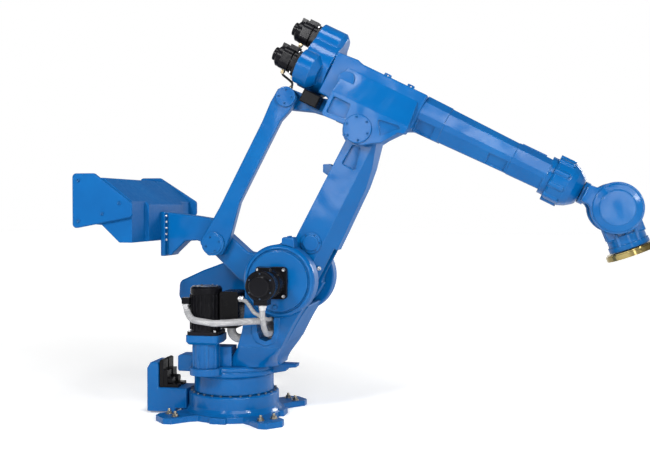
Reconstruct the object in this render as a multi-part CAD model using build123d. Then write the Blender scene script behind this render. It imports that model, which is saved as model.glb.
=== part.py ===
from build123d import *
import math
import os

os.makedirs("parts", exist_ok=True)

# Frame: origin on the floor under the swivel axis, +X the way the arm reaches, +Z up, mm.

# Base
plate_t = 40
foot_bolt_r = 470
foot_bolt_half = 50
foot_hole_r = 13
base_r = 314
base_top = 165
spigot_r = 160

# Swivel
neck_r = 277
neck_bottom = 171
flange_r = 300
deck = 365
bore_r = 120
shoulder_x = 410
shoulder_z = 957
near_housing_r = 242
far_housing_r = 262
housing_in = 200
housing_out = 352
web_out = 318
saddle_top = 515
swivel_motor_x = -104
swivel_motor_y = -286
column_top = 590

# Lower arm, with the shoulder at its local origin and the elbow at its far end
arm_length = 1122
arm_angle = 62.6
arm_half_y = 160
fork_gap = 85
hub_r = 205

# Crank and link, the other two sides of the parallelogram
crank_length = 562
crank_angle = 155.4
crank_half_y = 70
link_near = -150
link_far = -82

# Upper arm, with the elbow at its local origin and the forearm along local X
forearm_pitch = 26.7
roll_height = 272
bend_distance = 1685
shell_half_y = 168
cheek_in = 170
cheek_out = 272
roll_plane = 1446

# Wrist
bend_rest = 42.3
fork_in = 104
fork_out = 192
bend_disc_r = 163
flange_reach = 315
tool_r = 165
tool_bolt_pcd = 250
tool_bolts = 6

gap = 0.5
LOW = (Align.CENTER, Align.CENTER, Align.MIN)


def polar(length, degrees):
    return (length * math.cos(math.radians(degrees)), length * math.sin(math.radians(degrees)))


arm_dx, arm_dz = polar(arm_length, arm_angle)
crank_dx, crank_dz = polar(crank_length, crank_angle)
elbow_x = shoulder_x + arm_dx
elbow_z = shoulder_z + arm_dz
pin_x = shoulder_x + crank_dx
pin_z = shoulder_z + crank_dz


def side_frame(x, z, degrees):
    """Frame at (x, z) with its local X at an angle above the horizontal and the model's own Y."""
    dx, dz = polar(1, degrees)
    return Plane(origin=(x, 0, z), x_dir=(dx, 0, dz), z_dir=(-dz, 0, dx))


LOWER = side_frame(shoulder_x, shoulder_z, arm_angle)
LINK = side_frame(pin_x, pin_z, arm_angle)
UPPER = side_frame(elbow_x, elbow_z, -forearm_pitch)
roll_dx, roll_dz = polar(1, -forearm_pitch)
bend_x = elbow_x + bend_distance * roll_dx - roll_height * roll_dz
bend_z = elbow_z + bend_distance * roll_dz + roll_height * roll_dx
TOOL = side_frame(bend_x, bend_z, -forearm_pitch - bend_rest)


def put(frame, solid):
    return frame.location * solid


def face(points, radius=0):
    drawn = make_face(Polyline(*points, close=True))
    if radius:
        drawn = fillet(drawn.vertices(), radius)
    return drawn


def slab(profile, y0, y1, bevel=0):
    """Prism of an XZ profile between two Y planes, with the edges of both ends bevelled."""
    plane = Plane(origin=(0, y1, 0), x_dir=(1, 0, 0), z_dir=(0, -1, 0))
    solid = extrude(plane * profile, amount=y1 - y0)
    if bevel:
        ends = solid.faces().sort_by(Axis.Y)
        solid = chamfer(ends[0].edges() + ends[-1].edges(), bevel)
    return solid


def wheel(x, z, r, y0, y1):
    """Cylinder along Y."""
    plane = Plane(origin=(x, y1, z), x_dir=(1, 0, 0), z_dir=(0, -1, 0))
    return extrude(plane * Circle(r), amount=y1 - y0)


def rod(y, z, r, x0, x1):
    """Cylinder along X."""
    return extrude(Plane(origin=(x0, y, z), x_dir=(0, 1, 0), z_dir=(1, 0, 0)) * Circle(r), amount=x1 - x0)


def post(x, y, r, z0, z1):
    return Pos(x, y, z0) * Cylinder(r, z1 - z0, align=LOW)


def block(x0, x1, y0, y1, z0, z1):
    return Pos(x0, y0, z0) * Box(x1 - x0, y1 - y0, z1 - z0, align=(Align.MIN, Align.MIN, Align.MIN))


def mirror_y(solid):
    return mirror(solid, about=Plane.XZ)


def turned(points):
    """Solid of revolution about Z from a half section of (radius, height) points."""
    return revolve(Plane.XZ * face(points), axis=Axis.Z)


def outward(solid, x, y, z):
    """Sets a solid turned about Z on a point, with its Z towards the near side."""
    return Pos(x, y, z) * (Rot(90, 0, 0) * solid)


def sleeve(points, bends, r):
    """Round cable along straight runs joined by tangent arcs, one radius for each corner."""
    path = FilletPolyline(*points, radius=bends)
    return sweep(Plane(origin=path @ 0, z_dir=path % 0) * Circle(r), path=path)


def keep(solid, name):
    solid.label = name
    export_step(solid, f"parts/{name}.step")


# Base casting: foot plate, four splayed feet, turned pedestal
foot_outline = [
    (150, -150), (400, -98), (522, -98), (564, -60), (564, 60), (522, 98), (400, 98), (150, 150),
]
plate = extrude(Circle(352), amount=plate_t)
for corner in range(4):
    foot = extrude(face(foot_outline), amount=plate_t)
    lobe = extrude(face([(200, -90), (374, -55), (374, 55), (200, 90)]), amount=plate_t)
    plate = plate + Rot(0, 0, 45 + 90 * corner) * foot + Rot(0, 0, 90 * corner) * lobe
pedestal = turned(
    [(0, plate_t), (338, plate_t), (322, 58), (base_r, 78), (base_r, 156), (306, base_top), (0, base_top)]
)
base = plate + pedestal
base = base - post(0, 0, spigot_r + gap, 110, base_top)
for corner in range(4):
    for side in (-1, 1):
        hole = Pos(foot_bolt_r, side * foot_bolt_half, 0) * Cylinder(foot_hole_r, plate_t, align=LOW)
        base = base - Rot(0, 0, 45 + 90 * corner) * hole
keep(base, "base_casting")

# Connector box behind the pedestal: a low deck for the plugs and a tall rear wall
box_profile = face(
    [
        (-592, 14), (-592, 316), (-566, 358), (-514, 358),
        (-508, 334), (-508, 182), (-300, 182), (-300, 42),
        (-386, 42), (-386, 14),
    ],
    6,
)
box = slab(box_profile, -150, 60, 5) - pedestal
keep(box, "connector_box")
sockets = Part()
for y in (-96, 12):
    hood = chamfer(block(-501, -474, y - 42, y + 42, 182, 378).faces().sort_by(Axis.Z)[-1].edges(), 8)
    sockets = sockets + hood + block(-474, -446, y - 36, y + 36, 182, 300)
    sockets = sockets + rod(y, 226, 26, -446, -412) + block(-446, -372, y - 30, y + 30, 182, 204)
keep(sockets, "cable_sockets")

# Turntable: neck and grooved flange, with a front lug, a rear lug and a pad for the motor column
turntable = turned(
    [
        (bore_r, neck_bottom - 30), (spigot_r, neck_bottom - 30),
        (spigot_r, neck_bottom), (neck_r, neck_bottom),
        (neck_r, 284), (290, 290), (flange_r, 302), (flange_r, 322),
        (294, 326), (294, 331), (flange_r, 335),
        (flange_r, deck - 12), (flange_r - 12, deck), (bore_r, deck),
    ]
)
lug = slab(
    face([(270, 290), (306, 296), (384, 312), (390, 332), (458, 340), (462, 362), (270, 362)]), -45, 45, 4
)
rear_lug = chamfer(block(-392, -270, -70, 70, 290, deck + 38).edges().filter_by(Axis.Y), 10)
pad_profile = Pos(swivel_motor_x, swivel_motor_y) * Circle(112)
pad_profile = pad_profile + face([(-240, -180), (-222, -260), (-10, -310), (60, -200)])
pad = extrude(Plane.XY.offset(318) * pad_profile, amount=deck - 318)
keep(turntable + lug + rear_lug + (pad - post(0, 0, flange_r - 20, 0, deck)), "turntable")

# Saddle: foot of the swivel casting, flared down to the deck, with a front wall up to the lower arm's hub
saddle_sections = [(deck, 152, 416, 470, 150), (400, 186, 352, 500, 110), (450, 228, 316, 560, 60)]
saddle_sections = saddle_sections + [(saddle_top, 272, 300, 2 * web_out, 24)]
saddle_faces = Sketch()
for z, x, wide, deep, r in saddle_sections:
    saddle_faces = saddle_faces + Plane.XY.offset(z) * (Pos(x, 0) * RectangleRounded(wide, deep, r))
saddle = loft(saddle_faces)
wall = face([(370, saddle_top), (478, 716), (548, 786), (588, 786), (532, 712), (422, saddle_top)], 6)
saddle = saddle + slab(wall, -housing_in, housing_in)
keep(saddle, "swivel_saddle")

# Uprights: cast webs from the saddle to the shoulder housings, with a cable window in a raised rim
web_profile = make_face(
    [
        Spline((122, saddle_top), (150, 600), (170, 720), (176, 900)),
        Polyline((176, 900), (410, 957), (610, 824)),
        Spline((610, 824), (530, 717), (470, 610), (422, saddle_top)),
        Line((422, saddle_top), (122, saddle_top)),
    ]
)
window = face([(262, 740), (262, 618), (282, 572), (320, 556), (358, 572), (378, 618), (378, 740)])
rim = face([(224, 740), (224, 604), (254, 548), (320, 524), (386, 548), (412, 604), (412, 740)], 20)


def upright(housing_r):
    """Near web with its window and rim, cut to its shoulder housing."""
    solid = slab(web_profile, -web_out, -housing_in) + slab(rim, -web_out - 12, -web_out + 20, 4)
    solid = solid - slab(window, -web_out - 20, -housing_in)
    return solid - wheel(shoulder_x, shoulder_z, housing_r, -housing_out, -housing_in)


keep(upright(near_housing_r), "near_upright")
wing_profile = face(
    [
        (-60, 600), (-420, 646), (-496, 790), (-490, 898),
        (-300, 984), (-155, 1037), (180, 1110), (410, 957),
        (200, 760), (130, 600),
    ],
    50,
)
wing = slab(wing_profile, housing_in + 15, housing_in + 100, 12)
far = mirror_y(upright(far_housing_r)) + wing
far = far - wheel(shoulder_x, shoulder_z, far_housing_r, housing_in, housing_out)
keep(far, "far_upright")


def shoulder_housing(r):
    """Reducer housing at the near end of the shoulder axis, with a stepped face and groove."""
    depth = housing_out - housing_in
    solid = turned(
        [
            (70, 0), (r - 8, 0), (r, 8), (r, 118), (r - 6, 132), (r - 18, depth - 6), (214, depth - 6),
            (210, depth - 18), (203, depth - 18), (198, depth), (70, depth),
        ]
    )
    return outward(solid, shoulder_x, -housing_in, shoulder_z)


keep(shoulder_housing(near_housing_r), "near_shoulder_housing")
keep(mirror_y(shoulder_housing(far_housing_r)), "far_shoulder_housing")


def ribbed(r, start, stop, count, deep):
    """Half section points of a motor barrel with grooves round it."""
    points = []
    pitch = (stop - start) / count
    for k in range(count):
        low = start + k * pitch
        points = points + [(r - deep, low), (r - deep, low + 0.35 * pitch)]
        points = points + [(r, low + 0.45 * pitch), (r, low + pitch)]
    return points


def arm_motor():
    """Servo motor on the near shoulder housing: flange, ribbed barrel, stepped end bell, plugs."""
    x, z = 373, 949
    solid = slab(Pos(x, z) * RectangleRounded(212, 212, 24), -384, -housing_out, 3)
    barrel = turned(
        [(0, 0)]
        + ribbed(94, 0, 120, 4, 6)
        + [(86, 132), (86, 206), (98, 214), (98, 258), (90, 268)]
        + [(68, 268), (68, 290), (60, 298), (0, 298)]
    )
    solid = solid + outward(barrel, x, -378, z)
    solid = solid + block(x - 44, x + 44, -634, -542, z - 122, z - 60)
    solid = solid + block(x - 38, x + 38, -560, -470, z + 60, z + 112)
    return solid


keep(arm_motor(), "lower_arm_motor")
keep(mirror_y(arm_motor()), "upper_arm_motor")

# Swivel motor on its column
column = post(swivel_motor_x, swivel_motor_y, 86, deck, column_top - 50)
for turn in (-150, -110, -70, -30):
    rib = Rot(0, 0, turn) * block(60, 95, -9, 9, deck, column_top - 50)
    column = column + Pos(swivel_motor_x, swivel_motor_y, 0) * rib
square = extrude(RectangleRounded(226, 226, 30), amount=62)
square = Pos(swivel_motor_x, swivel_motor_y, column_top - 62) * square
column = column + chamfer(square.edges().group_by(Axis.Z)[0], 18)
column = column + block(-190, 60, -250, -130, deck, 500)
keep(column - saddle, "swivel_motor_column")
barrel_foot = column_top + 24
motor = extrude(RectangleRounded(216, 216, 36), amount=24)
motor = Pos(swivel_motor_x, swivel_motor_y, column_top) * motor
motor = motor + post(swivel_motor_x, swivel_motor_y, 101, barrel_foot, 872)
motor_cap = post(swivel_motor_x, swivel_motor_y, 107, 866, 914)
motor = motor + chamfer(motor_cap.edges().group_by(Axis.Z)[-1], 14)
for turn in range(2, 23):
    fin = Rot(0, 0, 15 * turn) * block(96, 112, -4, 4, barrel_foot + 12, 858)
    motor = motor + Pos(swivel_motor_x, swivel_motor_y, 0) * fin
motor = motor + block(-238, -186, -400, -346, 800, 842)
keep(motor, "swivel_motor")
terminal = fillet(block(14, 140, -356, -184, 640, 884).edges().filter_by(Axis.Y), 18)
terminal = terminal - block(28, 126, -360, -352, 654, 870)
terminal = terminal + block(-20, 14, -310, -262, 730, 840) - motor
keep(terminal, "swivel_terminal_box")

# Stop block on the near housing
stop = block(432, 514, -330, -230, 1170, 1246) - wheel(shoulder_x, shoulder_z, near_housing_r, -400, -100)
keep(chamfer(stop.faces().sort_by(Axis.Z)[-1].edges(), 8), "stop_block")

# Cable sleeves from the motors through the window of the near upright down to the saddle
motor_sleeve = sleeve(
    [
        (-212, -374, 800), (-212, -374, 756), (-160, -428, 700), (0, -436, 680), (170, -430, 694),
        (306, -402, 702), (306, -140, 660), (306, -140, saddle_top),
    ],
    [50, 80, 160, 200, 80, 55], 22,
)
bundle = sleeve([(66, -264, 644), (66, -264, 572), (170, -264, 556)], [56], 30)
keep(Part() + [motor_sleeve, bundle - terminal - upright(near_housing_r)], "swivel_motor_sleeve")
drop_sleeve = sleeve(
    [
        (373, -588, 827), (373, -588, 742), (366, -520, 668), (352, -410, 616), (352, -130, 600),
        (352, -130, saddle_top),
    ],
    [60, 90, 130, 50], 18,
)
side_sleeve = sleeve(
    [
        (140, -338, 836), (196, -348, 822), (262, -392, 752), (350, -394, 708), (350, -84, 692),
        (350, -84, saddle_top),
    ],
    [45, 45, 40, 60], 13,
)
keep(Part() + [drop_sleeve, side_sleeve - terminal], "lower_arm_motor_sleeve")

# Lower arm: bevelled box casting, forked at the shoulder, hub at the elbow
side = face(
    [
        (0, 205), (110, 172), (225, 64), (1040, 58), (1100, 100), (1122, 112), (1200, 80), (1226, 0),
        (1200, -80), (1122, -124), (1030, -150), (930, -178),
        (800, -198), (470, -210), (220, -218), (0, -205),
    ],
    20,
)
body = slab(side, -arm_half_y, arm_half_y)
corner_cut = extrude(Plane.YZ.offset(60) * face([(-240, -300), (-240, -40), (20, -300)]), amount=1200)
body = body - corner_cut - mirror_y(corner_cut)
body = body + wheel(0, 0, hub_r, -190, 190)
body = body + wheel(arm_length, 0, 122, -arm_half_y, arm_half_y)
hollow = face([(300, -150), (300, 20), (960, 20), (960, -100), (700, -140)], 20)
body = body - slab(hollow, -70, 70)
body = body - slab(face([(-400, -400), (330, -400), (330, 400), (-400, 400)]), -fork_gap, fork_gap)
body = body - wheel(0, 0, 62, -200, 200)
body = body - wheel(arm_length, 0, 46, -200, 200)
recess = face([(1016, 4), (866, 12), (866, -92), (1020, -54)], 14)
body = body - slab(recess, -arm_half_y, -arm_half_y + 24)
body = body - slab(recess, arm_half_y - 24, arm_half_y)
keep(put(LOWER, body), "lower_arm_casting")
shaft = wheel(0, 0, 61.5, -196, 196)
keep(put(LOWER, shaft), "shoulder_shaft")
cover = wheel(302, -48, 70, -174, -arm_half_y) + wheel(302, -48, 52, -182, -174)
keep(put(LOWER, cover), "lower_arm_cover")
clip = slab(face([(742, 50), (800, 50), (826, 104), (800, 150), (752, 126)], 8), -30, 30)
keep(put(LOWER, clip - body), "lower_arm_clip")

# Crank: bell-crank plate from the shoulder to the counterweight
crank_profile = face(
    [
        (-470, 1408), (-262, 1381), (-152, 1364), (-108, 1332),
        (15, 1226), (123, 1132), (210, 1118), (420, 1110),
        (480, 957), (420, 800), (250, 850), (60, 940),
        (-74, 1068), (-214, 1198), (-248, 1210), (-336, 1206),
        (-422, 1126), (-440, 1104), (-470, 1104),
    ],
    14,
)
crank = slab(crank_profile, -crank_half_y, crank_half_y, 8)
crank = crank + wheel(shoulder_x, shoulder_z, 168, -crank_half_y, crank_half_y)
crank = crank - wheel(shoulder_x, shoulder_z, 62, -100, 100)
crank_flange = block(-500, -470, -112, 112, 1100, 1412)
crank = crank + fillet(crank_flange.edges().filter_by(Axis.X), 14)
crank = crank - wheel(pin_x, pin_z, 40, -100, 100)
keep(crank, "crank_arm")
link_pin = wheel(pin_x, pin_z, 40, -158, crank_half_y) + wheel(pin_x, pin_z, 80, -164, -156)
link_pin = link_pin + wheel(pin_x, pin_z, 66, -168, -164)
keep(link_pin, "lower_link_pin")
weight_profile = face(
    [(-925, 1638), (-724, 1638), (-500, 1462), (-500, 1210), (-615, 1210), (-738, 1326), (-925, 1340)]
)
weight = slab(weight_profile, -540, 540)
weight = fillet(weight.edges().filter_by(Axis.Y), 16)
front_step = block(-526, -480, 330, 560, 1180, 1700)
groove = block(-1000, -480, 318, 334, 1180, 1700) - block(-910, -526, 300, 360, 1180, 1612)
weight = weight - front_step - mirror_y(front_step) - groove - mirror_y(groove)
keep(weight, "counterweight_block")
plate_profile = face([(-936, 1667), (-782, 1667), (-514, 1468), (-514, 1379), (-936, 1300)], 28)
far_plate_profile = face([(-936, 1667), (-770, 1667), (-476, 1482), (-476, 1379), (-936, 1300)], 28)
keep(slab(plate_profile, -570, -540, 6), "near_weight_plate")
keep(slab(far_plate_profile, 540, 570, 6), "far_weight_plate")

# Parallel link
bar = face(
    [
        (-40, 92), (90, 84), (250, 76), (900, 74), (1040, 82),
        (1150, 76), (1190, 0), (1150, -76), (1040, -62),
        (960, -38), (340, -36), (110, -84), (-40, -92), (-92, 0),
    ],
    24,
)
link = slab(bar, link_near, link_far, 6)
link = link - wheel(0, 0, 40 + gap, -200, 0) - wheel(arm_length, 0, 40 + gap, -200, 0)
keep(put(LINK, link), "parallel_link")

# Upper arm housing: box casting with two cheeks at the elbow and a rear lug to the link
shell = face(
    [
        (-372, 100), (-372, 396), (-221, 407), (-187, 394),
        (300, 394), (300, 150), (262, 140), (180, 132),
        (-180, 132), (-240, 60), (-310, 100),
    ],
    10,
)
upper = slab(shell, -shell_half_y, shell_half_y, 8)
near_cheek = face(
    [
        (-262, 330), (262, 330), (294, 140), (288, 104), (248, 88),
        (178, -14), (124, -44), (70, -84), (0, -97),
        (-70, -84), (-102, -12), (-246, -22), (-262, -6),
    ],
    12,
)
far_cheek = face(
    [
        (-262, 330), (262, 330), (290, 160), (226, 128), (140, 20),
        (110, -30), (70, -84), (0, -97), (-70, -84),
        (-102, -12), (-246, -22), (-262, -6),
    ],
    12,
)
upper = upper + slab(near_cheek, -cheek_out, -cheek_in) + slab(far_cheek, cheek_in, cheek_out)
upper = upper + slab(face([(-262, 150), (250, 150), (250, 330), (-262, 330)]), -cheek_in, cheek_in)
slope_profile = face([(-300, 150), (-272, 150), (-168, 332), (-300, 332)])
slope = extrude(Plane.YZ.offset(-400) * slope_profile, amount=800)
upper = upper - slope - mirror_y(slope)
rear_pocket = face([(-238, 122), (-112, 122), (-104, 20), (-238, 6)], 12)
front_pocket = face([(92, 112), (226, 132), (252, 124), (150, 22)], 8)
upper = upper - slab(rear_pocket, -cheek_out, -cheek_out + 24)
upper = upper - slab(front_pocket, -cheek_out, -cheek_out + 16)
upper = upper + wheel(-226, 254, 56, -shell_half_y - 50, -shell_half_y)
lug_x, lug_z = polar(crank_length, crank_angle + forearm_pitch)
lug_profile = face(
    [
        (-640, -20), (-610, -78), (-545, -92), (-390, -36),
        (-317, -24), (-165, -14), (-165, 130), (-364, 76),
        (-500, 48), (-610, 40),
    ],
    16,
)
upper = upper + slab(lug_profile, -70, 70)
upper = upper - wheel(0, 0, 175, -162 - 5, 162 + 5)
upper = upper - wheel(0, 0, 45, -300, 300)
upper = upper - wheel(lug_x, lug_z, 40, -100, 100)
upper = upper - rod(0, roll_height, 90, -372, 300)
keep(put(UPPER, upper), "upper_arm_housing")
elbow_pin = wheel(0, 0, 45, -cheek_out, cheek_out)
keep(put(UPPER, elbow_pin), "elbow_pin")
elbow_cover = slab(Circle(94), -cheek_out - 14, -cheek_out)
elbow_cover = chamfer(elbow_cover.faces().sort_by(Axis.Y)[0].edges(), 4)
keep(put(UPPER, elbow_cover), "near_elbow_cover")
keep(put(UPPER, mirror_y(elbow_cover)), "far_elbow_cover")
top_pin = wheel(lug_x, lug_z, 40, -158, 70) + wheel(lug_x, lug_z, 68, -168, -156)
keep(put(UPPER, top_pin), "upper_link_pin")

# Gear case behind the housing, with one lobe for each wrist motor
motor_spots = [(0, 422), (-162, 208), (162, 208)]
case = rod(0, roll_height, 190, -560, -372)
case = case + chamfer(rod(0, 422, 118, -560, -372).edges().group_by(Axis.X)[-1], 28)
for spot_y in (-162, 162):
    case = case + chamfer(rod(spot_y, 208, 118, -560, -416).edges().group_by(Axis.X)[-1], 44)
case = case - rod(0, roll_height, bore_r, -540, -372)
keep(put(UPPER, case), "gear_case")


def wrist_motor(y, z):
    """Wrist servo motor pointing rearward from the gear case."""
    square = Plane(origin=(-560, y, z), x_dir=(0, 1, 0), z_dir=(-1, 0, 0))
    solid = extrude(square * RectangleRounded(176, 176, 22), amount=20)
    solid = solid + extrude(square * RectangleRounded(150, 150, 44), amount=128)
    solid = solid - rod(y, z, 200, -622, -612) + rod(y, z, 68, -640, -600)
    solid = solid + chamfer(rod(y, z, 72, -730, -680).edges().group_by(Axis.X)[0], 10)
    solid = solid + rod(y, z, 46, -756, -720)
    solid = solid + block(-672, -608, y - 34, y + 34, z + 60, z + 104)
    solid = solid + block(-726, -690, y - 26, y + 26, z + 50, z + 92)
    return solid


for (spot_y, spot_z), name in zip(motor_spots, ("roll_motor", "bend_motor", "twist_motor")):
    keep(put(UPPER, wrist_motor(spot_y, spot_z)), name)
loop_points = [(-660, -140, 150), (-660, -140, 104), (-628, -78, 94), (-588, -40, 82), (-588, -40, 20)]
loop = sleeve(loop_points, [24, 40, 24], 8)
loop = loop - wrist_motor(-162, 208) - upper
keep(put(UPPER, loop), "wrist_motor_cable")
junction = chamfer(block(-462, -335, -190, -70, -4, 82).faces().sort_by(Axis.Y)[0].edges(), 8)
keep(put(UPPER, junction), "junction_box")

# Forearm tube: faceted casting that steps and tapers to the wrist, with pockets in its lower facets


def tube_section(x, scale):
    half = [(70, 122), (140, 78), (160, 0), (148, -36), (84, -122)]
    ring = [(scale * y, scale * z) for y, z in half]
    ring = ring + [(-y, z) for y, z in reversed(ring)]
    return Plane(origin=(x, 0, roll_height), x_dir=(0, 1, 0), z_dir=(1, 0, 0)) * face(ring)


def facet_pocket(x0, x1, scale):
    """Cutter for a pocket in the near lower facet, for the scale that the section has there."""
    cut = [(scale * y, scale * z) for y, z in [(-133, -36), (-76, -112), (-150, -180), (-210, -90)]]
    plane = Plane(origin=(x0, 0, roll_height), x_dir=(0, 1, 0), z_dir=(1, 0, 0))
    return extrude(plane * face(cut), amount=x1 - x0)


tube = loft(Sketch() + [tube_section(300, 1.03), tube_section(478, 1.0)])
tube = tube + loft(Sketch() + [tube_section(478, 0.965), tube_section(968, 0.865)])
tube = tube + loft(Sketch() + [tube_section(968, 0.89), tube_section(1210, 0.85)])
tube = tube + rod(0, roll_height, 128, 1200, 1240)
for cut in (facet_pocket(312, 430, 1.015), facet_pocket(820, 950, 0.882)):
    tube = tube - cut - mirror_y(cut)
tube = tube + block(984, 1156, -24, 24, roll_height + 90, roll_height + 116)
tube = tube - rod(0, roll_height, 78, 300, 1240)
keep(put(UPPER, tube), "forearm_tube")
ring = turned([(0, 0), (134, 0), (147, 14), (147, 112), (130, 152), (102, 190), (86, 206), (0, 206)])
ring = Pos(1240, 0, roll_height) * (Rot(0, 90, 0) * ring)
for bolt in range(10):
    lug_y, lug_h = polar(140, 36 * bolt + 18)
    ring = ring + rod(lug_y, roll_height + lug_h, 20, 1240, 1338)
keep(put(UPPER, ring), "wrist_ring")
lifting = Part()
for eye_x in (-53, 121):
    eye = slab(face([(eye_x, 394), (eye_x + 4, 420), (eye_x + 50, 420), (eye_x + 54, 394)], 6), -14, 14)
    lifting = lifting + (eye - wheel(eye_x + 27, 406, 7, -20, 20))
keep(put(UPPER, lifting), "lifting_eyes")

# Wrist roll: flat neck that widens into a fork
neck = rod(0, roll_height, 74, roll_plane + 6, 1490)
profile = face(
    [
        (roll_plane + 20, 56), (1518, 60), (1590, 110), (bend_distance, bend_disc_r - 4),
        (bend_distance + 95, 120), (bend_distance + 125, 0), (bend_distance + 95, -120),
        (bend_distance, 4 - bend_disc_r), (1590, -110), (1518, -60), (roll_plane + 20, -56),
    ],
    16,
)
fork = slab(Pos(0, roll_height) * profile, -fork_out, fork_out, 6)
fork = fork - slab(
    Pos(0, roll_height) * face([(1506, -300), (1506, 300), (1900, 300), (1900, -300)]), -fork_in, fork_in
)
fork = fork + wheel(bend_distance, roll_height, bend_disc_r, -fork_out, -fork_in)
fork = fork + wheel(bend_distance, roll_height, bend_disc_r, fork_in, fork_out)
fork = fork + neck
fork = fork - wheel(bend_distance, roll_height, 50, -300, 300)
keep(put(UPPER, fork), "wrist_fork")
cap = turned([(0, 0), (152, 0), (152, 5), (146, 8), (114, 18), (108, 24), (0, 24)])
cap = outward(cap, bend_distance, -fork_out, roll_height)
keep(put(UPPER, cap), "near_bend_cover")
keep(put(UPPER, mirror_y(cap)), "far_bend_cover")

# Wrist bend: housing between the fork cheeks, along the tool axis
bend = wheel(0, 0, 142, -98, 98) + slab(face([(0, -122), (190, -122), (190, 122), (0, 122)]), -98, 98, 6)
bend = bend + rod(0, 0, 122, 178, 269) + rod(0, 0, 130, 236, 269)
for rib_z in (-62, 0, 62):
    bend = bend + block(150, 250, -112, 112, rib_z - 9, rib_z + 9)
bend = bend - wheel(0, 0, bend_disc_r + 7, -400, -99) - wheel(0, 0, bend_disc_r + 7, 99, 400)
bend = bend + wheel(0, 0, 49.5, -fork_out + 2, fork_out - 2)
keep(put(TOOL, bend), "bend_housing")

# Tool flange with bolt circle and spigot bore
flange = rod(0, 0, tool_r - 12, 275, flange_reach) + rod(0, 0, tool_r, 283, flange_reach)
flange = flange - rod(0, 0, 62, 295, flange_reach)
for bolt in range(tool_bolts):
    bolt_y, bolt_z = polar(tool_bolt_pcd / 2, 360 / tool_bolts * bolt)
    flange = flange - rod(bolt_y, bolt_z, 8, 285, flange_reach)
keep(put(TOOL, flange), "tool_flange")
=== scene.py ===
"""Studio scene of the robot arm: finishes, small fasteners and fittings, floor, light and camera."""

import math

import bmesh
import bpy
from mathutils import Matrix, Vector


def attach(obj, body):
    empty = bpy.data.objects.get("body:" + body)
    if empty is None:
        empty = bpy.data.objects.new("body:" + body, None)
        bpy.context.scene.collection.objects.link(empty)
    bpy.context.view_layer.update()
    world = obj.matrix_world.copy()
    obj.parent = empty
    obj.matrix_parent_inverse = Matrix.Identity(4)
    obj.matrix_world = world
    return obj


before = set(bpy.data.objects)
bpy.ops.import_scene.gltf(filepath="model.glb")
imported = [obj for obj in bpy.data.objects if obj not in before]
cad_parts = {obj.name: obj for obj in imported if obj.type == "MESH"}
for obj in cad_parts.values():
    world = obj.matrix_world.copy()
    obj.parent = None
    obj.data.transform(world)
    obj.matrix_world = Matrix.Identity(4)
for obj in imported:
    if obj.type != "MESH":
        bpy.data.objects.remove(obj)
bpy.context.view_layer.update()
scene = bpy.context.scene

MM = 0.001
UP, DOWN, FORWARD, BACKWARD, NEAR = (0, 0, 1), (0, 0, -1), (1, 0, 0), (-1, 0, 0), (0, -1, 0)
SIDES = (-1, 1)

# Main dimensions of the solids, in mm and degrees
SHOULDER = (410, 957)
ARM_LENGTH, ARM_ANGLE = 1122, 62.6
CRANK_LENGTH, CRANK_ANGLE = 562, 155.4
FOREARM_PITCH, ROLL_HEIGHT = 26.7, 272

# Axes and faces of the solids that the small pieces stand on, in mm: in the frame of the floor,
FOOT_REACH, FOOT_TOP, FOOT_BOLT_Y = 470, 40, 50
PEDESTAL_RING, PEDESTAL_TOP = 294, 165
ARM_MOTOR_X, ARM_MOTOR_Z = 373, 949
ARM_MOTOR_FLANGE, ARM_MOTOR_END = 384, 646
SWIVEL_MOTOR_X, SWIVEL_MOTOR_Y = -104, -286
SWIVEL_MOTOR_FLANGE, SWIVEL_MOTOR_END = 614, 914
HOUSING_PLUG_X, HOUSING_FACE, HOUSING_PLUG_Z = 393, 352, 790
STOP_X, STOP_SCREWS_Y, STOP_TOP = 473, (-306, -254), 1246
CRANK_FLANGE_FACE, CRANK_FLANGE_Y, CRANK_FLANGE_ROWS = -470, 92, range(1214, 1383, 42)
WEIGHT_PLATE_FACE = 570
WEIGHT_PLATE_SCREWS = ((-890, 1620), (-890, 1352), (-600, 1470), (-720, 1400))
SWIVEL_MOTOR_PLUG, ARM_MOTOR_PLUG, TERMINAL_BOX_SIDE = (-212, -374, 800), (373, -588, 827), (140, -338, 836)
PIN_FACE = -168
# of the upper arm,
WRIST_MOTOR_FLANGE, WRIST_MOTORS = -580, ((0, 422), (-162, 208), (162, 208))
WRIST_PLUG_X, WRIST_PLUGS = -660, ((-24, 347), (-140, 133), (140, 133))
LUG_SPOT, LUG_NORMAL = (-588, -40, 41.6), (-0.073, 0, 1)
WRIST_RING_FACE, WRIST_RING = 1338, 153.5
ELBOW_COVER_FACE, ELBOW_COVER_RING = 286, 76
# and of the lower arm
ARM_COVER_X, ARM_COVER_FACE, ARM_COVER_Z, ARM_COVER_RING = 302, -174, -48, 61
BEVEL_SPOT, BEVEL_NORMAL = (170, -117, -163), (0, -1, -1)


def polar(length, degrees):
    return length * math.cos(math.radians(degrees)), length * math.sin(math.radians(degrees))


def side_frame(x, z, degrees):
    """Frame in mm whose local X leaves (x, z) at an angle above the horizontal, with local Y along Y."""
    c, s = polar(1, degrees)
    return Matrix(((c, 0, -s, x), (0, 1, 0, 0), (s, 0, c, z), (0, 0, 0, 1)))


elbow = tuple(a + b for a, b in zip(SHOULDER, polar(ARM_LENGTH, ARM_ANGLE)))
lower_pin = tuple(a + b for a, b in zip(SHOULDER, polar(CRANK_LENGTH, CRANK_ANGLE)))
upper_pin = polar(CRANK_LENGTH, CRANK_ANGLE + FOREARM_PITCH)
FLOOR = Matrix.Identity(4)
LOWER = side_frame(*SHOULDER, ARM_ANGLE)
UPPER = side_frame(*elbow, -FOREARM_PITCH)


# Materials

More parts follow.
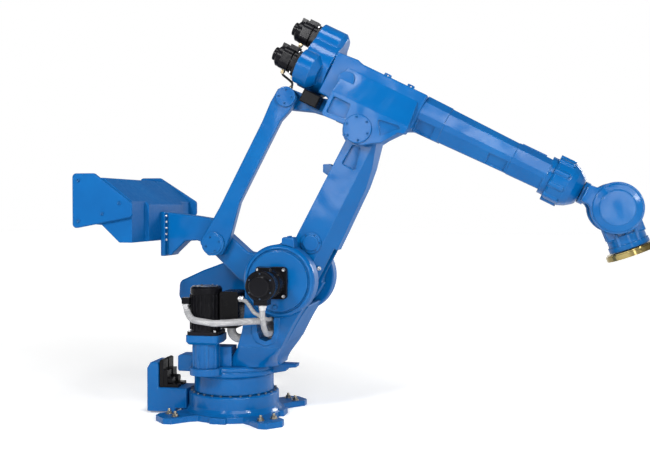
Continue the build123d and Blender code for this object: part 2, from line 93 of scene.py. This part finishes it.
WEAR_AND_HIGHLIGHT_SCALE, GLOSS_SCALE, SWELL_SCALE = 22.0, 38.0, 5.0
EDGE_BEND = (0.78, 0.99)  # between these, the rounded normal leaves the face's own
# Noise that breaks up the lighter edges: worn paint on most finishes, a painted highlight on the glossy blue
# and the black motors
WEAR_AND_HIGHLIGHT_RANGE, MOST_WEAR_AND_HIGHLIGHT = (0.35, 0.75), 0.5
SLANT_RANGE = (0.66, 0.84)  # Layer Weight's Facing, over which a slanting view dulls the gloss
WEAVE_TURNS, WEAVE_TILT, WEAVE_DISTORTION, WEAVE_SHADE = (0.8, -0.8), 0.6, 0.6, 0.55
BUMP_STRENGTH = 0.5


def feed(tree, socket, value):
    """Link an input to a socket, or set it to a value."""
    if isinstance(value, bpy.types.NodeSocket):
        tree.links.new(value, socket)
    else:
        socket.default_value = value


def linked(tree, kind, **inputs):
    """New node with its inputs fed; an underscore in a name is a space."""
    node = tree.nodes.new(kind)
    for name, value in inputs.items():
        feed(tree, node.inputs[name.replace("_", " ")], value)
    return node


def noise(tree, where, scale, detail=4.0):
    node = linked(tree, "ShaderNodeTexNoise", Vector=where, Scale=scale, Detail=detail, Roughness=0.55)
    return node.outputs["Fac"]


def span(tree, value, low, high, start=0.3, stop=0.7):
    """The value carried from the range start to stop over to the range low to high."""
    node = linked(
        tree, "ShaderNodeMapRange", Value=value, From_Min=start, From_Max=stop, To_Min=low, To_Max=high
    )
    return node.outputs["Result"]


def mixed(tree, factor, one, two):
    """Mix of two colours, each a socket or three numbers."""
    node = tree.nodes.new("ShaderNodeMix")
    node.data_type = "RGBA"
    tree.links.new(factor, node.inputs[0])
    for socket, value in ((node.inputs[6], one), (node.inputs[7], two)):
        feed(tree, socket, value if isinstance(value, bpy.types.NodeSocket) else (*value, 1))
    return node.outputs[2]


def maths(tree, kind, one, two):
    node = tree.nodes.new("ShaderNodeMath")
    node.operation = kind
    for socket, value in zip(node.inputs, (one, two)):
        feed(tree, socket, value)
    return node.outputs[0]


def bumped(tree, height, normal, depth):
    node = linked(
        tree, "ShaderNodeBump", Height=height, Normal=normal, Strength=BUMP_STRENGTH, Distance=depth
    )
    return node.outputs[0]


def finish(
    name, tones, rough, grain, depth, metallic=0.0, edge=None, round_edge=0.003, weave=0.0, shine=0.5,
    swell=0.0, patch=3.2, slant=0.0,
):
    """Finish with patchy colour, uneven gloss, a fine bumpy grain, slow swells and lighter edges, which are
    wear on some finishes and a painted highlight on others.
    """
    material = bpy.data.materials.new(name)
    material.use_nodes = True
    tree = material.node_tree
    shader = tree.nodes["Principled BSDF"]
    where = tree.nodes.new("ShaderNodeTexCoord").outputs["Object"]
    colour = mixed(tree, span(tree, noise(tree, where, patch), 0.0, 1.0), *tones)
    soft = linked(tree, "ShaderNodeBevel", Radius=round_edge)
    soft.samples = 4
    if edge:
        dot = tree.nodes.new("ShaderNodeVectorMath")
        dot.operation = "DOT_PRODUCT"
        tree.links.new(soft.outputs[0], dot.inputs[0])
        tree.links.new(tree.nodes.new("ShaderNodeNewGeometry").outputs["Normal"], dot.inputs[1])
        at_edge = span(tree, dot.outputs["Value"], 1.0, 0.0, *EDGE_BEND)
        wear_and_highlight = span(tree, noise(tree, where, WEAR_AND_HIGHLIGHT_SCALE, 6.0), 0.0, MOST_WEAR_AND_HIGHLIGHT, *WEAR_AND_HIGHLIGHT_RANGE)
        # Lighter colour at the edges: worn paint, and on the glossy blue and the black motors a painted
        # highlight
        colour = mixed(tree, maths(tree, "MULTIPLY", at_edge, wear_and_highlight), colour, edge)
    gloss = span(tree, noise(tree, where, GLOSS_SCALE, 5.0), *rough)
    if slant:
        facing = tree.nodes.new("ShaderNodeLayerWeight").outputs["Facing"]
        gloss = maths(tree, "ADD", gloss, span(tree, facing, 0.0, slant, *SLANT_RANGE))
    tree.links.new(gloss, shader.inputs["Roughness"])
    height = noise(tree, where, grain, 3.0)
    if weave:
        bands = []
        for turn in WEAVE_TURNS:
            turned = linked(tree, "ShaderNodeMapping", Vector=where, Rotation=(turn, WEAVE_TILT, turn))
            wave = linked(
                tree, "ShaderNodeTexWave", Vector=turned.outputs[0], Scale=weave, Distortion=WEAVE_DISTORTION
            )
            bands.append(wave.outputs["Fac"])
        height = maths(tree, "MULTIPLY", *bands)
        colour = mixed(tree, height, [WEAVE_SHADE * c for c in tones[0]], colour)
    tree.links.new(colour, shader.inputs["Base Color"])
    normal = soft.outputs[0]
    if swell:
        normal = bumped(tree, noise(tree, where, SWELL_SCALE, 1.0), normal, swell)
    tree.links.new(bumped(tree, height, normal, depth), shader.inputs["Normal"])
    shader.inputs["Metallic"].default_value = metallic
    shader.inputs["Specular IOR Level"].default_value = shine
    return material


# Its lighter edge colour is a painted highlight along the casting's edges, not wear
blue = finish(
    "blue_casting", ((0.0003, 0.071, 0.238), (0.0005, 0.087, 0.272)), rough=(0.11, 0.18),
    grain=150.0, depth=0.00025, edge=(0.08, 0.27, 0.60), round_edge=0.010, shine=0.22, swell=0.020,
    slant=0.55,
)
blue_matte = finish(
    "blue_matte", ((0.0003, 0.072, 0.240), (0.0005, 0.086, 0.272)), rough=(0.46, 0.60),
    grain=150.0, depth=0.00025, edge=(0.03, 0.17, 0.46), round_edge=0.010, shine=0.10, swell=0.004,
)
# Its grey edge colour is a painted glint along the fins and other edges, not wear
motor_black = finish(
    "black_motor", ((0.003, 0.003, 0.004), (0.007, 0.007, 0.009)), rough=(0.14, 0.26),
    grain=260.0, depth=0.0001, edge=(0.10, 0.10, 0.105), round_edge=0.004, shine=0.07,
)
plastic = finish(
    "black_plastic", ((0.004, 0.004, 0.0045), (0.009, 0.009, 0.010)), rough=(0.16, 0.30),
    grain=420.0, depth=0.0005, edge=(0.06, 0.06, 0.065), shine=0.06,
)
sleeve_grey = finish(
    "grey_sleeve", ((0.34, 0.34, 0.35), (0.78, 0.78, 0.79)), rough=(0.3, 0.55),
    grain=300.0, depth=0.0015, weave=70.0, swell=0.012, patch=24.0,
)
cable_black = finish(
    "black_cable", ((0.015, 0.015, 0.016), (0.03, 0.03, 0.032)), rough=(0.45, 0.6), grain=300.0, depth=0.0004,
)
plated = finish(
    "plated_flange", ((0.13, 0.095, 0.035), (0.36, 0.29, 0.12)), rough=(0.08, 0.22),
    grain=180.0, depth=0.0003, metallic=1.0, edge=(0.72, 0.62, 0.34), round_edge=0.002,
)
brass = finish(
    "brass_plug", ((0.34, 0.25, 0.12), (0.62, 0.52, 0.34)), rough=(0.2, 0.36),
    grain=260.0, depth=0.0003, metallic=1.0, edge=(0.8, 0.7, 0.5), round_edge=0.001, patch=40.0,
)
steel = finish(
    "steel_pin", ((0.46, 0.46, 0.47), (0.62, 0.62, 0.63)), rough=(0.22, 0.38),
    grain=260.0, depth=0.0003, metallic=1.0, edge=(0.8, 0.8, 0.8), round_edge=0.001,
)
zinc = finish(
    "zinc_bolt", ((0.20, 0.18, 0.14), (0.42, 0.38, 0.30)), rough=(0.26, 0.44),
    grain=260.0, depth=0.0003, metallic=1.0, edge=(0.6, 0.56, 0.46), round_edge=0.001, patch=40.0,
)
dark_steel = finish(
    "dark_steel", ((0.03, 0.05, 0.09), (0.05, 0.08, 0.13)), rough=(0.3, 0.45),
    grain=260.0, depth=0.0003, metallic=0.6, edge=(0.2, 0.25, 0.3), round_edge=0.001,
)

# Solids that aren't blue paint with a gloss
finishes = (
    (motor_black, (
        "lower_arm_motor", "upper_arm_motor", "swivel_motor", "roll_motor", "bend_motor", "twist_motor",
    )),
    (blue_matte, ("counterweight_block", "near_weight_plate", "far_weight_plate")),
    (plastic, ("swivel_terminal_box", "junction_box", "cable_sockets")),
    (sleeve_grey, ("swivel_motor_sleeve", "lower_arm_motor_sleeve")),
    (cable_black, ("wrist_motor_cable",)),
    (plated, ("tool_flange",)),
)
node_finish = {node: material for material, nodes in finishes for node in nodes}
for node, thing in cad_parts.items():
    thing.data.materials.clear()
    thing.data.materials.append(node_finish.get(node, blue))


# Small pieces, built as meshes

def seat(place, point, axis):
    """Frame in mm at a point of a local frame, with its Z along an axis of that frame."""
    turn = Vector(axis).to_track_quat("Z", "Y").to_matrix().to_4x4()
    return place @ Matrix.Translation(Vector(point)) @ turn


def lathe(bm, place, profile, sides=24):
    """Closed turned form about a frame's Z from (radius, height, corners) rows; 6 corners make a hexagon."""
    profile = [(0, profile[0][1], 0), *profile]
    if profile[-1][0]:
        profile.append((0, profile[-1][1], 0))
    rings = []
    for radius, height, corners in profile:
        ring = []
        for k in range(sides if radius else 1):
            angle = 2 * math.pi * k / sides
            reach = radius
            if corners:
                part = 2 * math.pi / corners
                reach = radius / math.cos(angle % part - part / 2)
            spot = Vector((reach * math.cos(angle), reach * math.sin(angle), height))
            ring.append(bm.verts.new((place @ spot) * MM))
        rings.append(ring)
    for low, high in zip(rings, rings[1:]):
        for k in range(sides):
            n = (k + 1) % sides
            if len(low) == 1:
                corners = (low[0], high[k], high[n])
            elif len(high) == 1:
                corners = (low[k], low[n], high[0])
            else:
                corners = (low[k], low[n], high[n], high[k])
            bm.faces.new(corners)


def cap_screw(bm, place, r, h):
    """Socket cap screw standing on the frame's XY plane."""
    lathe(bm, place, [
        (r, 0, 0), (r, 0.86 * h, 0), (0.92 * r, h, 0), (0.58 * r, h, 6), (0.55 * r, 0.45 * h, 6),
        (0, 0.4 * h, 0),
    ])


def hex_bolt(bm, place, r, h, stud):
    """Hexagon bolt with its washer and a stud end above it."""
    lathe(bm, place, [
        (1.45 * r, 0, 0), (1.45 * r, 0.16 * h, 0), (1.38 * r, 0.22 * h, 0), (0.95 * r, 0.22 * h, 6),
        (0.95 * r, 0.9 * h, 6), (0.86 * r, h, 0), (0.52 * r, h, 0), (0.52 * r, h + 0.8 * stud, 0),
        (0.44 * r, h + stud, 0), (0, h + stud, 0),
    ])


def gland(bm, place, r, h):
    """Cable gland with a hexagon nut and a rounded dome."""
    lathe(bm, place, [
        (0.9 * r, 0, 0), (0.9 * r, 0.15 * h, 0), (r, 0.15 * h, 6), (r, 0.5 * h, 6), (0.94 * r, 0.59 * h, 0),
        (0.94 * r, 0.88 * h, 0), (0.86 * r, h, 0), (0.8 * r, h, 0),
    ])


HOUSING_PLUG = [(16, 0, 0), (16, 3, 0), (12, 3, 6), (12, 14, 6), (10, 16, 0), (0, 16, 0)]
GREASE_FITTING = [
    (13, 0, 6), (13, 9, 6), (11, 11, 0), (6, 11, 0), (6, 18, 0), (8, 21, 0), (5, 27, 0), (0, 28, 0),
]


def piece(name, body, material, items):
    """One piece on a body, from items of a form, its frame and its sizes: radius, height and any stud."""
    bm = bmesh.new()
    for form, place, *sizes in items:
        form(bm, place, *sizes)
    bmesh.ops.recalc_face_normals(bm, faces=bm.faces)
    mesh = bpy.data.meshes.new(name)
    bm.to_mesh(mesh)
    bm.free()
    for polygon in mesh.polygons:
        polygon.use_smooth = True
    mesh.set_sharp_from_angle(angle=math.radians(35))
    mesh.materials.append(material)
    thing = bpy.data.objects.new(name, mesh)
    scene.collection.objects.link(thing)
    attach(thing, body)


def circle(count, radius, start=0.0):
    return [polar(radius, start + 360 / count * k) for k in range(count)]


def square(half):
    return [(a, b) for a in (-half, half) for b in (-half, half)]


# Base: foot bolts and the ring of screws round the pedestal
feet = [Matrix.Rotation(math.radians(45 + 90 * corner), 4, "Z") for corner in range(4)]
piece("foot_bolts", "base", zinc, [
    (hex_bolt, seat(foot, (FOOT_REACH, side * FOOT_BOLT_Y, FOOT_TOP), UP), 18, 20, 16)
    for foot in feet for side in SIDES
])
piece("pedestal_screws", "base", dark_steel, [
    (cap_screw, seat(FLOOR, (x, y, PEDESTAL_TOP), UP), 9, 10) for x, y in circle(28, PEDESTAL_RING)
])

# Swivel: flange screws of its three motors
piece("motor_screws", "swivel", steel, [
    (
        cap_screw,
        seat(FLOOR, (ARM_MOTOR_X + x, side * ARM_MOTOR_FLANGE, ARM_MOTOR_Z + z), (0, side, 0)),
        11, 13,
    )
    for side in SIDES for x, z in square(86)
] + [
    (cap_screw, seat(FLOOR, (SWIVEL_MOTOR_X + x, SWIVEL_MOTOR_Y + y, SWIVEL_MOTOR_FLANGE), UP), 9, 11)
    for x, y in square(88)
])

# Crank: two rows of screws on its flange
piece("crank_flange_screws", "crank", steel, [
    (cap_screw, seat(FLOOR, (CRANK_FLANGE_FACE, side * CRANK_FLANGE_Y, z), FORWARD), 8, 10)
    for side in SIDES for z in CRANK_FLANGE_ROWS
])

# Upper arm: flange screws of the wrist motors, screws of the wrist ring and of the elbow covers
piece("wrist_motor_screws", "upper_arm", steel, [
    (cap_screw, seat(UPPER, (WRIST_MOTOR_FLANGE, y + dy, z + dz), BACKWARD), 9, 10)
    for y, z in WRIST_MOTORS for dy, dz in square(74)
])
piece("upper_arm_screws", "upper_arm", blue, [
    (cap_screw, seat(UPPER, (WRIST_RING_FACE, y, ROLL_HEIGHT + z), FORWARD), 6, 8)
    for y, z in circle(10, WRIST_RING, 18)
] + [
    (cap_screw, seat(UPPER, (x, side * ELBOW_COVER_FACE, z), (0, side, 0)), 8, 6)
    for side in SIDES for x, z in circle(6, ELBOW_COVER_RING)
])

# Plugs of the wrist motors, the near one at the cable and the others capped, and the gland at the rear lug
piece("wrist_motor_plugs", "upper_arm", brass, [
    (gland, seat(UPPER, (WRIST_PLUG_X, y, z), DOWN), 14, 26) for y, z in WRIST_PLUGS
] + [
    (gland, seat(UPPER, LUG_SPOT, LUG_NORMAL), 13, 18),
])

# Lower arm: screws of the round cover
piece("arm_cover_screws", "lower_arm", blue, [
    (cap_screw, seat(LOWER, (ARM_COVER_X + x, ARM_COVER_FACE, ARM_COVER_Z + z), NEAR), 5, 4)
    for x, z in circle(6, ARM_COVER_RING)
])

# Swivel: cable glands under the motor plugs and on the terminal box, motor end screws, housing plugs with
# the stop block's screws
piece("cable_glands", "swivel", steel, [
    (gland, seat(FLOOR, SWIVEL_MOTOR_PLUG, DOWN), 27, 34),
    (gland, seat(FLOOR, ARM_MOTOR_PLUG, DOWN), 24, 34),
    (gland, seat(FLOOR, TERMINAL_BOX_SIDE, FORWARD), 19, 34),
])
piece("motor_end_screws", "swivel", dark_steel, [
    (cap_screw, seat(FLOOR, (ARM_MOTOR_X + x, side * ARM_MOTOR_END, ARM_MOTOR_Z + z), (0, side, 0)), 5, 5)
    for side in SIDES for x, z in circle(6, 79, 30)
] + [
    (cap_screw, seat(FLOOR, (SWIVEL_MOTOR_X + x, SWIVEL_MOTOR_Y + y, SWIVEL_MOTOR_END), UP), 6, 6)
    for x, y in circle(6, 72, 15)
])
piece("housing_plugs", "swivel", blue, [
    (lathe, seat(FLOOR, (HOUSING_PLUG_X, side * HOUSING_FACE, HOUSING_PLUG_Z), (0, side, 0)), HOUSING_PLUG)
    for side in SIDES
] + [
    (cap_screw, seat(FLOOR, (STOP_X, y, STOP_TOP), UP), 10, 8) for y in STOP_SCREWS_Y
])

# Screws of the link pins' caps and of the weight plates
piece("crank_screws", "crank", blue, [
    (cap_screw, seat(FLOOR, (lower_pin[0] + x, PIN_FACE, lower_pin[1] + z), NEAR), 7, 5)
    for x, z in circle(4, 50, 20)
] + [
    (cap_screw, seat(FLOOR, (x, side * WEIGHT_PLATE_FACE, z), (0, side, 0)), 11, 8)
    for side in SIDES for x, z in WEIGHT_PLATE_SCREWS
])
piece("upper_pin_screws", "upper_arm", blue, [
    (cap_screw, seat(UPPER, (upper_pin[0] + x, PIN_FACE, upper_pin[1] + z), NEAR), 7, 5)
    for x, z in circle(4, 46, 20)
])

# Grease fitting on the lower arm's bevel
piece("grease_fitting", "lower_arm", steel, [
    (lathe, seat(LOWER, BEVEL_SPOT, BEVEL_NORMAL), GREASE_FITTING),
])


# Floor, which glows more with distance so that it meets the white of the world

GLOW, GLOW_REACH = (0.2, 0.68), (1.5, 8.0)  # strength, and metres from the arm

bm = bmesh.new()
bmesh.ops.create_grid(bm, x_segments=8, y_segments=8, size=40)
mesh = bpy.data.meshes.new("floor")
bm.to_mesh(mesh)
bm.free()
floor = bpy.data.objects.new("floor", mesh)
scene.collection.objects.link(floor)
pale = finish(
    "pale_floor", ((0.93, 0.93, 0.93), (0.95, 0.95, 0.95)), rough=(0.6, 0.7),
    grain=60.0, depth=0.0001, shine=0.1,
)
tree = pale.node_tree
reach = tree.nodes.new("ShaderNodeVectorMath")
reach.operation = "LENGTH"
tree.links.new(tree.nodes["Texture Coordinate"].outputs["Object"], reach.inputs[0])
shader = tree.nodes["Principled BSDF"]
shader.inputs["Emission Color"].default_value = (1, 1, 1, 1)
tree.links.new(span(tree, reach.outputs["Value"], *GLOW, *GLOW_REACH), shader.inputs["Emission Strength"])
mesh.materials.append(pale)


# World: white round the horizon, darker overhead and behind the camera

OVERHEAD, OVERHEAD_RISE = 0.2, (0.24, 0.31)
BEHIND, BEHIND_TURN = 0.55, (-0.5, -0.1)
HORIZON_RISE = (0.0, 0.03)

world = bpy.data.worlds.new("studio")
world.use_nodes = True
tree = world.node_tree
background = tree.nodes["Background"]
background.inputs["Color"].default_value = (1, 1, 1, 1)
direction = linked(
    tree, "ShaderNodeSeparateXYZ", Vector=tree.nodes.new("ShaderNodeTexCoord").outputs["Generated"]
)
walls = span(tree, direction.outputs["Z"], 1.0, OVERHEAD, *OVERHEAD_RISE)
behind = span(tree, direction.outputs["Y"], BEHIND, 1.0, *BEHIND_TURN)
below = span(tree, direction.outputs["Z"], 1.0, 0.0, *HORIZON_RISE)
walls = maths(tree, "MULTIPLY", walls, maths(tree, "MAXIMUM", behind, below))
tree.links.new(walls, background.inputs["Strength"])
scene.world = world


# Lights

def aimed(name, data, direction, place=(0, 0, 0)):
    """Object that looks along a direction."""
    thing = bpy.data.objects.new(name, data)
    thing.location = place
    thing.rotation_euler = Vector(direction).to_track_quat("-Z", "Y").to_euler()
    scene.collection.objects.link(thing)
    return thing


def softbox(name, place, aim, power, size, tall=0.0):
    """Round light, or a card where it is given a height."""
    data = bpy.data.lights.new(name, "AREA")
    data.shape = "RECTANGLE" if tall else "DISK"
    data.size = size
    data.size_y = tall or size
    data.energy = power
    aimed(name, data, Vector(aim) - Vector(place), place)


softbox("key", (-1.2, -5.6, 4.2), aim=(0.6, 0, 1.2), power=240, size=0.9)
softbox("fill", (5.2, -4.2, 3.0), aim=(0.2, 0, 1.4), power=120, size=0.8)
softbox("top", (0.9, -1.6, 5.4), aim=(0.9, 0, 1.4), power=60, size=1.3)
softbox("back", (4.6, 5.4, 3.0), aim=(0.6, 0, 1.2), power=260, size=2.0)
softbox("card_left", (-0.5, -6.9, 2.4), aim=(0.7, 0, 1.7), power=40, size=1.0, tall=1.9)
softbox("card_right", (3.5, -6.6, 1.5), aim=(2.5, 0, 1.45), power=24, size=0.8, tall=1.4)
softbox("card_forearm", (2.5, -4.6, 4.4), aim=(1.7, 0, 1.9), power=24, size=2.4, tall=0.5)
data = bpy.data.lights.new("sun", "SUN")
data.energy = 1.1
data.angle = math.radians(30)
aimed("sun", data, (-0.45, 0.8, -0.5))


# Camera at the photo's view

CAMERA_PLACE = (1.955, -6.128, 1.451)
PITCH, AZIMUTH = math.radians(1.19), math.radians(12)

data = bpy.data.cameras.new("camera")
data.lens = 50.57
data.sensor_width = 36
look = (-math.sin(AZIMUTH) * math.cos(PITCH), math.cos(AZIMUTH) * math.cos(PITCH), -math.sin(PITCH))
scene.camera = aimed("camera", data, look, CAMERA_PLACE)
scene.view_settings.view_transform = "Standard"
